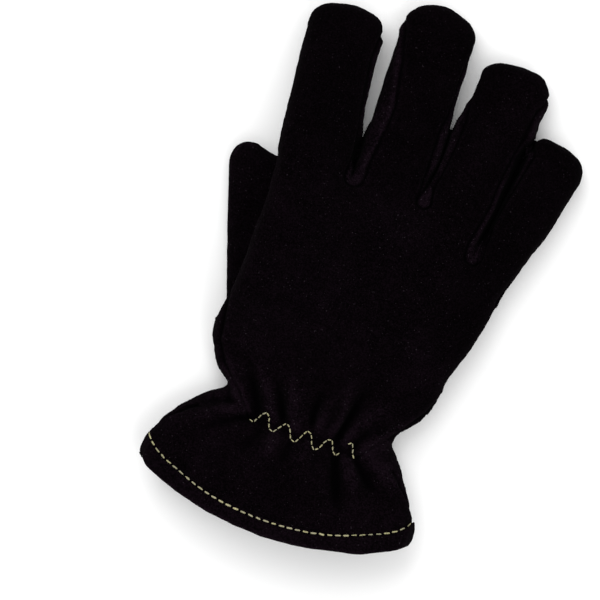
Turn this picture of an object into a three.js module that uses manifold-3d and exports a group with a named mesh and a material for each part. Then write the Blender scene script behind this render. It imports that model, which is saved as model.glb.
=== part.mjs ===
// A leather firefighter's work glove for the right hand, lying palm down with the thumb tucked under
// the palm. Every leather panel is its own hollow-following wall, cut out of one thin shell along the
// seams. Millimetres. X runs from the thumb side to the little finger, Y to the fingertips, Z up.

import * as THREE from "three";
import { mergeVertices } from "three/addons/utils/BufferGeometryUtils.js";
import Module from "manifold-3d";

const wasm = await Module();
wasm.setup();

// Leather
const wall = 2;
const thumbWall = 1.8;
const bindingWall = 1.2;
const tabWall = 1.8;

// Clearances
const seamGap = 0.4;
const layGap = 0.3;
const hemGap = 0.5;

// Hand and cuff, measured from the wrist notch
const palmLength = 130;
const palmWidth = 137;
const palmHeight = 31;
const wristWidth = 89;
const wristHeight = 23;
const elasticDrop = 11.5;
const elasticPinch = 3.5;
const cuffLength = 66;
const cuffWidth = 148;
const cuffHeight = 31;
const hemBow = 17;
const bindingWidth = 8.5;

// Fingers
const fingerHeight = 23;
const fingerGap = 1;
const fingertipRound = 13;
const fingers = {
  index: { length: 77, rootWidth: 39.6, width: 41.4, lean: -5.1 },
  middle: { length: 90, rootWidth: 40.2, width: 40.4, lean: -0.6 },
  ring: { length: 75, rootWidth: 37.6, width: 38.2, lean: 4.3 },
  pinky: { length: 66, rootWidth: 18, width: 31.6, lean: 11.7 },
};
const middleX = 0.3;
const pinkyCrotchDrop = 22;

// Thumb, lying on the floor under the palm's edge
const thumbLength = 107.5;
const thumbWidth = 35;
const thumbHeight = 16.5;
const thumbLean = -17.9;
const thumbRootX = -36;
const thumbRootY = 24;
const thumbtipRound = 11;
const thumbClearance = 1.5;

// Pull tab, under the cuff on the little finger's side
const tabLength = 39;
const tabRootWidth = 33;
const tabEndWidth = 28;
const tabFromCorner = 28;
const tabLean = 30;

// Shape of the cross sections: how square a tube is above and below
const backSquareness = 2.5;
const palmSquareness = 3.6;
const restFlat = 1.4;

const tabX = cuffWidth / 2 - tabFromCorner;
const tabFloor = tabWall + layGap;
const hemEnd = hemGap + bindingWall;
const hemFloor = tabFloor + hemEnd;
const bindingTop = -cuffLength + bindingWidth;
const pastHemShare = 1.12;
const radians = THREE.MathUtils.degToRad;
const clamp = THREE.MathUtils.clamp;

const smooth = (from, to, value) => {
  const share = clamp((value - from) / (to - from), 0, 1);
  return share * share * (3 - 2 * share);
};

// The hand and cuff as rows from the hem to the roots of the fingers. Lengths are shares: along is of
// the cuff's or the palm's length, left and right are of the width that the row follows, half is of its
// height, and floor is of the room that the binding and the tab take under the cuff.
const cuffRows = [
  { along: pastHemShare, left: 0.52, right: 0.47, half: 0.5, floor: 1 },
  { along: 1, left: 0.519, right: 0.47, half: 0.5, floor: 1 },
  { along: 0.84, left: 0.52, right: 0.476, half: 0.49, floor: 1 },
  { along: 0.7, left: 0.509, right: 0.463, half: 0.465, floor: 1 },
  { along: 0.5, left: 0.474, right: 0.424, half: 0.43, floor: 0.95 },
  { along: 0.34, left: 0.434, right: 0.389, half: 0.4, floor: 0.85 },
  { along: 0.2, left: 0.392, right: 0.354, half: 0.37, floor: 0.45 },
];
const wristRows = [
  { along: 0.1, left: 0.588, right: 0.54, half: 0.49, floor: 0.1 },
  { along: 0, left: 0.507, right: 0.5, half: 0.5, floor: 0 },
];
const palmRows = [
  { along: 0.06, left: 0.388, right: 0.35, half: 0.41, mid: 0.41, drop: 0 },
  { along: 0.17, left: 0.434, right: 0.425, half: 0.46, mid: 0.46, drop: 0 },
  { along: 0.23, left: 0.443, right: 0.444, half: 0.48, mid: 0.48, drop: 0 },
  { along: 0.31, left: 0.438, right: 0.456, half: 0.5, mid: 0.5, drop: 0 },
  { along: 0.39, left: 0.427, right: 0.48, half: 0.5, mid: 0.5, drop: 0 },
  { along: 0.5, left: 0.421, right: 0.509, half: 0.5, mid: 0.5, drop: 0 },
  { along: 0.62, left: 0.423, right: 0.526, half: 0.48, mid: 0.48, drop: 0.15 },
  { along: 0.73, left: 0.42, right: 0.531, half: 0.45, mid: 0.46, drop: 0.4 },
  { along: 0.82, left: 0.424, right: 0.535, half: 0.39, mid: 0.43, drop: 0.65 },
  { along: 0.91, left: 0.428, right: 0.54, half: 0.31, mid: 0.39, drop: 0.85 },
  { along: 1, left: 0.425, right: 0.545, half: 0.22, mid: 0.36, drop: 1 },
];

const bodyRows = [
  ...cuffRows.map((row) => ({
    y: -row.along * cuffLength,
    left: -row.left * cuffWidth,
    right: row.right * cuffWidth,
    half: row.half * cuffHeight,
    mid: row.half * cuffHeight + row.floor * hemFloor,
    floor: row.floor * hemFloor,
    bow: row.along * hemBow,
    drop: 0,
  })),
  ...wristRows.map((row) => ({
    y: -row.along * cuffLength,
    left: -row.left * wristWidth,
    right: row.right * wristWidth,
    half: row.half * wristHeight,
    mid: row.half * wristHeight + row.floor * hemFloor,
    floor: row.floor * hemFloor,
    bow: row.along * hemBow,
    drop: 0,
  })),
  ...palmRows.map((row) => ({
    y: row.along * palmLength,
    left: -row.left * palmWidth,
    right: row.right * palmWidth,
    half: row.half * palmHeight,
    mid: row.mid * palmHeight,
    floor: 0,
    bow: 0,
    drop: row.drop,
  })),
];

// A column of the rows at any height along the glove, on a smooth curve through the rows
function bodyAt(column, y) {
  const last = bodyRows.length - 2;
  let index = bodyRows.findIndex((row) => row.y > y) - 1;
  if (index < 0) index = y < bodyRows[0].y ? 0 : last;
  const [before, from, to, after] = [-1, 0, 1, 2].map(
    (step) => bodyRows[clamp(index + step, 0, last + 1)],
  );
  const span = to.y - from.y;
  const share = (y - from.y) / span;
  const slopeFrom = ((to[column] - before[column]) / (to.y - before.y)) * span;
  const slopeTo = ((after[column] - from[column]) / (after.y - from.y)) * span;
  const square = share * share;
  const cube = square * share;
  return (2 * cube - 3 * square + 1) * from[column] + (cube - 2 * square + share) * slopeFrom
    + (3 * square - 2 * cube) * to[column] + (cube - square) * slopeTo;
}

// The palm's thumb side lies on the thumb, so everything there is raised by it
const thumbLift = thumbHeight + thumbClearance;
function lift(x, y) {
  const across = smooth(0.07 * palmWidth, -0.37 * palmWidth, x);
  const rise = smooth(0.2 * palmLength, 0.46 * palmLength, y);
  const fall = 1 - 0.85 * smooth(0.8 * palmLength, palmLength + fingers.index.length, y);
  return thumbLift * across * rise * fall;
}

// Folds that the elastic gathers into the back: from a point at the elastic line to a point away from
// it, as shares of the wrist's width across and of the palm's or the cuff's length along. Breadth and
// rise are shares of the wrist's width and of its height; a furrow has a negative rise.
const backFolds = [
  { nearX: -0.34, farX: -0.6, farY: 0.15, breadth: 0.05, rise: 0.09 },
  { nearX: -0.27, farX: -0.44, farY: 0.13, breadth: 0.04, rise: -0.12 },
  { nearX: -0.19, farX: -0.42, farY: 0.2, breadth: 0.045, rise: 0.12 },
  { nearX: -0.115, farX: -0.22, farY: 0.12, breadth: 0.04, rise: -0.12 },
  { nearX: -0.04, farX: -0.12, farY: 0.18, breadth: 0.04, rise: 0.12 },
  { nearX: 0.03, farX: 0.03, farY: 0.16, breadth: 0.035, rise: -0.12 },
  { nearX: 0.075, farX: 0.1, farY: 0.15, breadth: 0.03, rise: 0.1 },
  { nearX: 0.155, farX: 0.18, farY: 0.24, breadth: 0.035, rise: 0.13 },
  { nearX: 0.205, farX: 0.3, farY: 0.3, breadth: 0.04, rise: -0.2 },
  { nearX: 0.26, farX: 0.52, farY: 0.22, breadth: 0.05, rise: 0.16 },
  { nearX: 0.31, farX: 0.5, farY: 0.09, breadth: 0.035, rise: -0.12 },
  { nearX: 0.36, farX: 0.66, farY: 0.17, breadth: 0.045, rise: 0.1 },
];
const cuffFolds = [
  { nearX: -0.4, farX: -0.72, farY: -0.42, breadth: 0.05, rise: 0.12 },
  { nearX: -0.33, farX: -0.66, farY: -0.52, breadth: 0.045, rise: -0.13 },
  { nearX: -0.22, farX: -0.33, farY: -0.52, breadth: 0.045, rise: -0.1 },
  { nearX: -0.13, farX: -0.2, farY: -0.55, breadth: 0.05, rise: 0.08 },
  { nearX: -0.05, farX: -0.08, farY: -0.5, breadth: 0.04, rise: -0.09 },
  { nearX: 0.1, farX: 0.12, farY: -0.55, breadth: 0.05, rise: 0.08 },
  { nearX: 0.21, farX: 0.37, farY: -0.72, breadth: 0.05, rise: -0.17 },
  { nearX: 0.28, farX: 0.4, farY: -0.45, breadth: 0.045, rise: 0.12 },
  { nearX: 0.34, farX: 0.6, farY: -0.4, breadth: 0.045, rise: -0.14 },
];

function foldHeight(x, y) {
  const beyond = y + elasticDrop;
  const folds = beyond > 0 ? backFolds : cuffFolds;
  let height = 0;
  for (const fold of folds) {
    const reach = fold.farY * (beyond > 0 ? palmLength : cuffLength);
    const along = beyond / reach;
    const crest = THREE.MathUtils.lerp(fold.nearX, fold.farX, along) * wristWidth;
    const breadth = fold.breadth * wristWidth * (1 + 0.6 * along);
    const off = (x - crest) / breadth;
    const fade = smooth(-0.15, 0.12, along) * (1 - smooth(0.45, 1.1, along));
    height += fold.rise * wristHeight * Math.exp(-off * off) * fade;
  }
  const waist = Math.exp(-((beyond / (0.12 * palmLength)) ** 2));
  const inside = 1 - smooth(0.3 * wristWidth, 0.46 * wristWidth, Math.abs(x));
  return height - elasticPinch * waist * inside;
}

// A cross section: points round a tube from its right edge over the back to its left edge and back
// under it. Each point is a share of the half width and of the half height.
function sectionShares(backSteps, palmSteps) {
  const across = (step, steps) => {
    const share = step / steps;
    return 0.5 * Math.cos(Math.PI * share) + 0.5 * (1 - 2 * share);
  };
  const points = [];
  for (let step = 0; step <= backSteps; step += 1) {
    const x = across(step, backSteps);
    const z = Math.max(0, 1 - Math.abs(x) ** backSquareness) ** (1 / backSquareness);
    points.push({ x, z });
  }
  for (let step = palmSteps - 1; step > 0; step -= 1) {
    const x = across(step, palmSteps);
    const z = -(Math.max(0, 1 - Math.abs(x) ** palmSquareness) ** (1 / palmSquareness));
    points.push({ x, z });
  }
  return points;
}

// A closed solid through rings of points, with a fan at each end
function loft(rings) {
  const count = rings[0].length;
  const positions = rings.flat(2);
  const triangles = [];
  for (let ring = 0; ring + 1 < rings.length; ring += 1) {
    for (let step = 0; step < count; step += 1) {
      const next = (step + 1) % count;
      const [a, b] = [ring * count + step, ring * count + next];
      const [c, d] = [a + count, b + count];
      triangles.push(a, b, d, a, d, c);
    }
  }
  for (const [ring, flip] of [[0, true], [rings.length - 1, false]]) {
    const centre = positions.length / 3;
    const ringMiddle = [0, 1, 2].map(
      (axis) => rings[ring].reduce((sum, point) => sum + point[axis], 0) / count,
    );
    positions.push(...ringMiddle);
    for (let step = 0; step < count; step += 1) {
      const [a, b] = [ring * count + step, ring * count + ((step + 1) % count)];
      triangles.push(...(flip ? [b, a, centre] : [a, b, centre]));
    }
  }
  return solidFrom(positions, triangles);
}

function solidFrom(positions, triangles) {
  const solid = new wasm.Manifold(new wasm.Mesh({
    numProp: 3,
    vertProperties: new Float32Array(positions),
    triVerts: new Uint32Array(triangles),
  }));
  if (solid.volume() > 0) return solid;
  const turned = [];
  for (let at = 0; at < triangles.length; at += 3) {
    turned.push(triangles[at], triangles[at + 2], triangles[at + 1]);
  }
  return solidFrom(positions, turned);
}

function solidFromGeometry(geometry) {
  geometry.deleteAttribute("normal");
  geometry.deleteAttribute("uv");
  const merged = mergeVertices(geometry, 1e-4);
  return solidFrom(Array.from(merged.attributes.position.array), Array.from(merged.index.array));
}

// The hand and cuff, grown outwards by an offset or, with a negative one, shrunk to its hollow
const bodyShares = sectionShares(22, 8);
const bodyStations = [
  ...bodyRows.map((row) => row.y),
  bindingTop,
  ...[0.03, 0.11].map((share) => share * palmLength),
  ...[0.05, 0.15].map((share) => -share * cuffLength),
];
const tiltFrom = 0.16 * palmWidth;
function bodyRing(y, offset) {
  const left = bodyAt("left", y) - offset;
  const right = bodyAt("right", y) + offset;
  const half = bodyAt("half", y) + offset;
  const mid = bodyAt("mid", y) - restFlat;
  const floor = bodyAt("floor", y) - offset;
  const loose = smooth(bindingTop, bindingTop + bindingWidth, y);
  const drop = (bodyAt("drop", y) * pinkyCrotchDrop) / (0.23 * palmWidth);
  return bodyShares.map((share) => {
    const x = (left + right) / 2 + (share.x * (right - left)) / 2;
    const pointY = y + bodyAt("bow", y) * share.x ** 2 - drop * Math.max(0, x - tiltFrom);
    const folded = share.z > 0 ? foldHeight(x, pointY) * (1 - share.x ** 4) * loose : 0;
    const z = Math.max(mid + half * share.z, floor) + folded;
    return [x, pointY, z + lift(x, pointY)];
  });
}

function bodySolid(offset, from, to) {
  const between = bodyStations.filter((y) => y > from && y < to);
  const stations = [...new Set([from, ...between, to])].sort((a, b) => a - b);
  return loft(stations.map((y) => bodyRing(y, offset)));
}

// A finger or the thumb: a tube along a leaning axis with a blunt round end
const tubeShares = sectionShares(8, 6);
const rootShrink = 0.8;
const tipSlimming = 0.12;
function tubeSolid(tube, offset) {
  const { rootX, rootY, lean, inside, length, height, round } = tube;
  const end = length + offset;
  const direction = [Math.sin(radians(lean)), Math.cos(radians(lean))];
  const straight = end - round;
  const stations = [-inside, 0, 0.5, 1].map(
    (station) => (station > 0 ? station * straight : station),
  );
  for (const share of [0.45, 0.8, 0.998]) stations.push(straight + share * round);
  return loft(stations.map((along) => {
    const rootShare = smooth(-0.3 * length, 0.55 * length, along);
    const width = THREE.MathUtils.lerp(tube.rootWidth, tube.width, rootShare);
    const buried = THREE.MathUtils.lerp(1, rootShrink, smooth(0, -inside, along));
    const past = clamp((along - straight) / round, 0, 1);
    const close = (1 - past ** 2.6) ** (1 / 2.2);
    const halfWidth = ((width / 2) * buried + offset) * close;
    const slim = 1 - tipSlimming * smooth(0, length, along);
    const half = ((height / 2) * slim * buried + offset) * close ** 0.8;
    const mid = (height / 2) * slim - restFlat / 2;
    return tubeShares.map((share) => {
      const x = rootX + along * direction[0] + share.x * halfWidth * direction[1];
      const y = rootY + along * direction[1] - share.x * halfWidth * direction[0];
      const z = Math.max(mid + half * share.z, -offset);
      return [x, y, z + (tube.lifted ? lift(x, y) : 0)];
    });
  }));
}

// The fingers stand side by side at the palm's end, a gap apart, and spread from there
const crotchX = { middle: middleX };
crotchX.index = middleX - (fingers.middle.rootWidth + fingers.index.rootWidth) / 2 - fingerGap;
crotchX.ring = middleX + (fingers.middle.rootWidth + fingers.ring.rootWidth) / 2 + fingerGap;
const ringAtPinky = crotchX.ring - pinkyCrotchDrop * Math.tan(radians(fingers.ring.lean));
crotchX.pinky = ringAtPinky + (fingers.ring.rootWidth + fingers.pinky.rootWidth) / 2 + fingerGap;

const fingerTubes = Object.entries(fingers).map(([name, finger]) => ({
  ...finger,
  name,
  rootX: crotchX[name],
  rootY: name === "pinky" ? palmLength - pinkyCrotchDrop : palmLength,
  inside: 0.26 * palmLength,
  height: fingerHeight,
  round: fingertipRound,
  lifted: true,
}));
const thumbTube = {
  rootX: thumbRootX,
  rootY: thumbRootY,
  lean: thumbLean,
  inside: 0.05 * thumbLength,
  length: thumbLength,
  rootWidth: thumbWidth,
  width: thumbWidth,
  height: thumbHeight,
  round: thumbtipRound,
  lifted: false,
};

// A band across the cuff, seen from above, between two lines that run along the curved hem
const hemSteps = 5;
const hemReach = 1.11;
function hemBand(from, to) {
  const [left, right] = ["left", "right"].map((side) => bodyAt(side, -cuffLength));
  const line = (distance) => {
    const along = 1 - distance / cuffLength;
    const points = [];
    for (let step = -hemSteps; step <= hemSteps; step += 1) {
      const share = (hemReach * step) / hemSteps;
      const x = (left + right) / 2 + (share * (right - left)) / 2;
      points.push(new THREE.Vector2(x, along * (hemBow * share ** 2 - cuffLength)));
    }
    return points;
  };
  const shape = new THREE.Shape([...line(from), ...line(to).reverse()]);
  const depth = 4 * palmHeight;
  const geometry = new THREE.ExtrudeGeometry(shape, { depth, bevelEnabled: false });
  geometry.translate(0, 0, -depth / 4);
  return solidFromGeometry(geometry);
}

// The whole glove as one thin shell
const palmEnd = palmLength;
const pastHem = -pastHemShare * cuffLength;
const body = bodySolid(0, pastHem, palmEnd);
const bodyHollow = bodySolid(-wall, pastHem - wall, palmEnd - wall);
const thumb = tubeSolid(thumbTube, 0);
const thumbHollow = tubeSolid(thumbTube, -thumbWall);
let outside = body;
let hollow = bodyHollow.add(thumbHollow);
for (const tube of fingerTubes) {
  outside = outside.add(tubeSolid(tube, 0));
  hollow = hollow.add(tubeSolid(tube, -wall));
}
const shell = outside.subtract(hollow).subtract(hemBand(-cuffLength, 0));

// The fourchettes, the strips between two fingers. A strip's two seams run up the back of the fingers
// on either side of the crotch. Along is a share of each finger's own length from the crotch to its
// tip, and left and right are shares of that finger's width from the crease between the fingers.
const strips = [
  {
    name: "fourchette_index_middle",
    left: "index",
    right: "middle",
    below: 0.16,
    rows: [
      { along: 0.02, left: 0.06, right: 0.18 },
      { along: 0.25, left: 0.08, right: 0.25 },
      { along: 0.38, left: 0.085, right: 0.27 },
      { along: 0.65, left: 0.115, right: 0.17 },
      { along: 0.8, left: 0.08, right: 0.09 },
      { along: 0.96, left: -0.02, right: -0.02 },
    ],
  },
  {
    name: "fourchette_middle_ring",
    left: "middle",
    right: "ring",
    below: 0.15,
    rows: [
      { along: 0.02, left: 0.1, right: 0.07 },
      { along: 0.33, left: 0.1, right: 0.1 },
      { along: 0.5, left: 0.065, right: 0.1 },
      { along: 0.68, left: 0.07, right: 0.05 },
      { along: 0.85, left: 0.035, right: 0.03 },
      { along: 0.97, left: -0.02, right: -0.02 },
    ],
  },
  {
    name: "fourchette_ring_pinky",
    left: "ring",
    right: "pinky",
    below: 0.13,
    rows: [
      { along: 0.03, left: 0.23, right: 0.08 },
      { along: 0.25, left: 0.16, right: 0.09 },
      { along: 0.4, left: 0.165, right: 0.1 },
      { along: 0.7, left: 0.12, right: 0.125 },
      { along: 0.82, left: 0.09, right: 0.13 },
      { along: 0.97, left: -0.02, right: -0.02 },
    ],
  },
];

// One edge of a finger at a distance past the crotch, as a point seen from above
function fingerEdge(tube, side, along, inward) {
  const direction = [Math.sin(radians(tube.lean)), Math.cos(radians(tube.lean))];
  const rootShare = smooth(-0.3 * tube.length, 0.55 * tube.length, along);
  const width = THREE.MathUtils.lerp(tube.rootWidth, tube.width, rootShare);
  const off = side * (width / 2 - inward * width);
  return new THREE.Vector2(
    tube.rootX + along * direction[0] + off * direction[1],
    tube.rootY + along * direction[1] - off * direction[0],
  );
}

function stripPrism(strip, shrink) {
  const [leftTube, rightTube] = [strip.left, strip.right].map(
    (name) => fingerTubes.find((tube) => tube.name === name),
  );
  const reach = Math.min(leftTube.length, rightTube.length);
  const start = Math.min(leftTube.rootY, rightTube.rootY);
  const seam = (tube, side, column) => strip.rows.map((row) => {
    const above = tube.rootY - start;
    return fingerEdge(tube, side, row.along * (tube.length + above) - above, row[column]);
  });
  const leftEdge = seam(leftTube, 1, "left");
  const rightEdge = seam(rightTube, -1, "right");
  leftEdge.forEach((point) => point.setX(point.x + shrink));
  rightEdge.forEach((point) => point.setX(point.x - shrink));
  const [low, high] = [leftEdge[0], rightEdge[0]];
  const bottomY = start - strip.below * reach + shrink;
  const radius = (high.x - low.x) / 2;
  const shape = new THREE.Shape();
  shape.moveTo(low.x, low.y);
  shape.lineTo(low.x, bottomY + radius);
  shape.absarc(low.x + radius, bottomY + radius, radius, Math.PI, 2 * Math.PI, false);
  shape.lineTo(high.x, high.y);
  rightEdge.slice(1).forEach((point) => shape.lineTo(point.x, point.y));
  const leftTip = leftEdge[leftEdge.length - 1];
  const rightTip = rightEdge[rightEdge.length - 1];
  const tipY = Math.max(leftTip.y, rightTip.y) + fingertipRound - shrink;
  shape.lineTo(Math.max(rightTip.x, leftTip.x + fingertipRound / 2), tipY);
  shape.lineTo(leftTip.x, tipY);
  leftEdge.slice(1).reverse().forEach((point) => shape.lineTo(point.x, point.y));
  shape.closePath();
  const depth = 4 * palmHeight;
  const geometry = new THREE.ExtrudeGeometry(shape, { depth, bevelEnabled: false, curveSegments: 4 });
  geometry.translate(0, 0, -depth / 4);
  return solidFromGeometry(geometry);
}

// The side seams between back and palm: a sheet at half height that climbs onto the back at the wrist,
// where the elastic draws the seams in. Climb is a share of the half height, at the glove's sides.
const seamRows = [
  { y: -0.52 * cuffLength, climb: 0 },
  { y: -0.36 * cuffLength, climb: 0.3 },
  { y: -0.2 * cuffLength, climb: 0.82 },
  { y: -0.08 * cuffLength, climb: 0.72 },
  { y: 0, climb: 0.58 },
  { y: 0.09 * palmLength, climb: 0.42 },
  { y: 0.17 * palmLength, climb: 0.22 },
  { y: 0.3 * palmLength, climb: 0 },
];
function climbAt(y) {
  const index = seamRows.findIndex((row) => row.y > y);
  if (index <= 0) return 0;
  const [from, to] = [seamRows[index - 1], seamRows[index]];
  return THREE.MathUtils.lerp(from.climb, to.climb, (y - from.y) / (to.y - from.y));
}
function seamHeight(x, y) {
  const knuckles = bodyAt("mid", clamp(y, -cuffLength, palmEnd)) - restFlat;
  const finger = (1 - tipSlimming / 2) * (fingerHeight / 2) - restFlat / 2;
  const share = smooth(0.8 * palmLength, palmEnd, y);
  const side = smooth(0.24 * wristWidth, 0.34 * wristWidth, Math.abs(x));
  const climb = climbAt(y) * side * bodyAt("half", clamp(y, -cuffLength, palmEnd));
  return THREE.MathUtils.lerp(knuckles, finger, share) + climb + lift(x, y);
}

// A block above or below the sheet of the side seams
function seamBlock(above) {
  const side = above ? 1 : -1;
  const farZ = side * 3 * palmHeight;
  const [columns, rows] = [9, 24];
  const low = new THREE.Vector2(-0.62 * cuffWidth, -1.3 * cuffLength);
  const high = new THREE.Vector2(0.75 * cuffWidth, palmEnd + 1.1 * fingers.middle.length);
  const rings = [];
  for (let row = 0; row <= rows; row += 1) {
    const y = THREE.MathUtils.lerp(low.y, high.y, row / rows);
    const ring = [];
    for (let column = 0; column <= columns; column += 1) {
      const x = THREE.MathUtils.lerp(low.x, high.x, column / columns);
      ring.push([x, y, seamHeight(x, y) + (side * seamGap) / 2]);
    }
    ring.push([high.x, y, farZ], [low.x, y, farZ]);
    rings.push(ring);
  }
  return loft(rings);
}

// A cut can leave crumbs beside the panel, so the largest solid is the panel
function largest(solid) {
  const parts = solid.decompose();
  return parts.reduce((best, part) => (part.volume() > best.volume() ? part : best));
}

let panels = shell;
for (const strip of strips) panels = panels.subtract(stripPrism(strip, 0));
const backPanel = largest(panels.intersect(seamBlock(true)));
const palmPanel = largest(panels.intersect(seamBlock(false)));

// The thumb butts against the palm round the hole that its hollow makes, and is sewn down both sides
const thumbShell = largest(thumb.subtract(thumbHollow).subtract(bodySolid(layGap, -cuffLength, palmEnd)));
function thumbHalf(above) {
  const depth = palmHeight;
  const cutHeight = thumbHeight / 2 - restFlat / 2 + (above ? seamGap : -seamGap) / 2;
  const geometry = new THREE.BoxGeometry(3 * thumbLength, 3 * thumbLength, depth);
  geometry.translate(0, 0, cutHeight + (above ? depth : -depth) / 2);
  return largest(thumbShell.intersect(solidFromGeometry(geometry)));
}

// The binding folds over the hem: a channel round the cuff's edge, clear of the leather inside it
function hemTube(gap, reach) {
  const tube = bodySolid(gap, pastHem, 0).subtract(bodySolid(-wall - gap, pastHem - wall, wall));
  return tube.intersect(hemBand(-gap, reach));
}
const binding = hemTube(hemEnd, bindingWidth).subtract(hemTube(hemGap, 2 * bindingWidth));

// The pull tab is a tongue with a round end at the hem, sewn on at its other end
function pullTab() {
  const corner = 0.42 * tabEndWidth;
  const [root, end] = [tabRootWidth / 2, tabEndWidth / 2];
  const shape = new THREE.Shape();
  shape.moveTo(-root, tabLength);
  shape.lineTo(-end, corner);
  shape.quadraticCurveTo(-end, 0, -end + corner, 0);
  shape.lineTo(end - corner, 0);
  shape.quadraticCurveTo(end, 0, end, corner);
  shape.lineTo(root, tabLength);
  shape.closePath();
  const geometry = new THREE.ExtrudeGeometry(shape, {
    depth: tabWall,
    bevelEnabled: false,
    curveSegments: 5,
  });
  geometry.rotateZ(radians(tabLean));
  const hemMiddle = (bodyAt("left", -cuffLength) + bodyAt("right", -cuffLength)) / 2;
  const share = (tabX - hemMiddle) / (bodyAt("right", -cuffLength) - hemMiddle);
  const hemY = -cuffLength + hemBow * share ** 2 - hemEnd;
  geometry.translate(tabX, hemY, 0);
  return geometry;
}

const suede = { roughness: 0.95, metalness: 0 };
const backLeather = new THREE.MeshStandardMaterial({ color: 0x16131a, ...suede });
const palmLeather = new THREE.MeshStandardMaterial({ color: 0x141117, ...suede });
const stripLeather = new THREE.MeshStandardMaterial({ color: 0x1b171e, ...suede });
const thumbLeather = new THREE.MeshStandardMaterial({ color: 0x18141b, ...suede });
const bindingLeather = new THREE.MeshStandardMaterial({ color: 0x1d1a21, ...suede });
const tabLeather = new THREE.MeshStandardMaterial({ color: 0x121015, ...suede });

// Where cuts left points closer together than this, they become one point and their slivers go
const pointMerge = 0.01;
function meshFrom(name, solid, material) {
  const { vertProperties, triVerts } = solid.getMesh();
  const cut = new THREE.BufferGeometry();
  cut.setAttribute("position", new THREE.BufferAttribute(vertProperties, 3));
  cut.setIndex(new THREE.BufferAttribute(triVerts, 1));
  const geometry = mergeVertices(cut, pointMerge);
  const corners = geometry.index.array;
  const kept = [];
  for (let at = 0; at < corners.length; at += 3) {
    const [a, b, c] = corners.subarray(at, at + 3);
    if (a !== b && b !== c && c !== a) kept.push(a, b, c);
  }
  geometry.setIndex(kept);
  const mesh = new THREE.Mesh(geometry, material);
  mesh.name = name;
  return mesh;
}

const glove = new THREE.Group();
glove.add(meshFrom("back_panel", backPanel, backLeather));
glove.add(meshFrom("palm_panel", palmPanel, palmLeather));
for (const strip of strips) {
  const panel = largest(shell.intersect(stripPrism(strip, seamGap)));
  glove.add(meshFrom(strip.name, panel, stripLeather));
}
glove.add(meshFrom("thumb_back", thumbHalf(true), thumbLeather));
glove.add(meshFrom("thumb_front", thumbHalf(false), thumbLeather));
glove.add(meshFrom("cuff_binding", largest(binding), bindingLeather));
const tab = new THREE.Mesh(pullTab(), tabLeather);
tab.name = "pull_tab";
glove.add(tab);

// The origin is under the middle of the glove, on the surface that it lies on
const box = new THREE.Box3().setFromObject(glove);
const boxCentre = box.getCenter(new THREE.Vector3());
glove.position.set(-boxCentre.x, -boxCentre.y, -box.min.z);

const group = new THREE.Group();
group.add(glove);

export default group;
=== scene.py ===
# %% [markdown]
# # A firefighter's work glove in black suede
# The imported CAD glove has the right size, the right panels and plain walls. This notebook dresses it:
# soft suede that the elastic gathers at the wrist, sunken seams, a bound hem and cream stitching.
# It works in metres. The glove lies on its palm, fingertips towards +Y and thumb towards -X.

# %% Tools
import math
from contextlib import contextmanager

import bmesh
import bpy
import numpy as np
from mathutils import Matrix, Vector
from mathutils.bvhtree import BVHTree
from mathutils.noise import fractal


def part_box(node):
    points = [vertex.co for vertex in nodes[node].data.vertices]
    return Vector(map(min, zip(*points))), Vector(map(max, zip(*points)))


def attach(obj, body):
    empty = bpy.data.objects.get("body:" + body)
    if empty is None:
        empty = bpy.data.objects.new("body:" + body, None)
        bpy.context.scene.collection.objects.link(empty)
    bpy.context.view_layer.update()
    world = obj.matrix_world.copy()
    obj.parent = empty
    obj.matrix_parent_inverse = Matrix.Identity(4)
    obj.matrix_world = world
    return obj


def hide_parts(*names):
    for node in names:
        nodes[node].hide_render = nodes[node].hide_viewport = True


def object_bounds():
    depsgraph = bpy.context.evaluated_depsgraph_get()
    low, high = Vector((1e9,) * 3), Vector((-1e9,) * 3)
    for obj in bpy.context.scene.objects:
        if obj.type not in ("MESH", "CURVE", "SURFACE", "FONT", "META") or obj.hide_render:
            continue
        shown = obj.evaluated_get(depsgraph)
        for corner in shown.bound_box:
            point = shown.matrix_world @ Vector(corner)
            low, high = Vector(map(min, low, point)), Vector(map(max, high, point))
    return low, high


MM = 0.001

# %% [markdown]
# ## The frame
# The CAD nodes stay where they are and keep their meshes. Everything that is modelled here is a copy of
# a node or stands on one, so sizes and places are read from the frame. The wrist's notch, where the
# cuff meets the hand, is the point that the folds and the elastic are measured from.

# %% Load the frame and find the wrist
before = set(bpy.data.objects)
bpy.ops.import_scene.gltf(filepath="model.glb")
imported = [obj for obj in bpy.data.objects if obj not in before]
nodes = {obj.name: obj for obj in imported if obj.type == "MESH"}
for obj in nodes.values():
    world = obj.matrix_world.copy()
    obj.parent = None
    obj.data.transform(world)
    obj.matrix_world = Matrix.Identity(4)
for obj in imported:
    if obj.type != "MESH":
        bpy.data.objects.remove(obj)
cad_box = [list(corner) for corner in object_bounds()]
bpy.ops.object.select_all(action="DESELECT")

CUFF_LENGTH = 66 * MM
HEM_BOW = 17 * MM
BINDING_STAND_OFF = 1.7 * MM
WALL = 1.9 * MM
NOTCH_FROM_CUFF_MIDDLE = 3.26 * MM
DOUBLES = 0.02 * MM

binding_low, binding_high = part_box("cuff_binding")
hem_middle = (binding_low.x + binding_high.x) / 2
hem_half = (binding_high.x - binding_low.x) / 2 - BINDING_STAND_OFF
hem_end = binding_low.y + BINDING_STAND_OFF
wrist = Vector((hem_middle + NOTCH_FROM_CUFF_MIDDLE, hem_end + CUFF_LENGTH, 0))
print("wrist notch at", [round(value / MM, 1) for value in wrist], "mm")


def hem_line(x):
    """Where the leather's edge lies at x, seen from above: the hem bows back towards both corners."""
    return hem_end + HEM_BOW * ((x - hem_middle) / hem_half) ** 2


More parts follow.
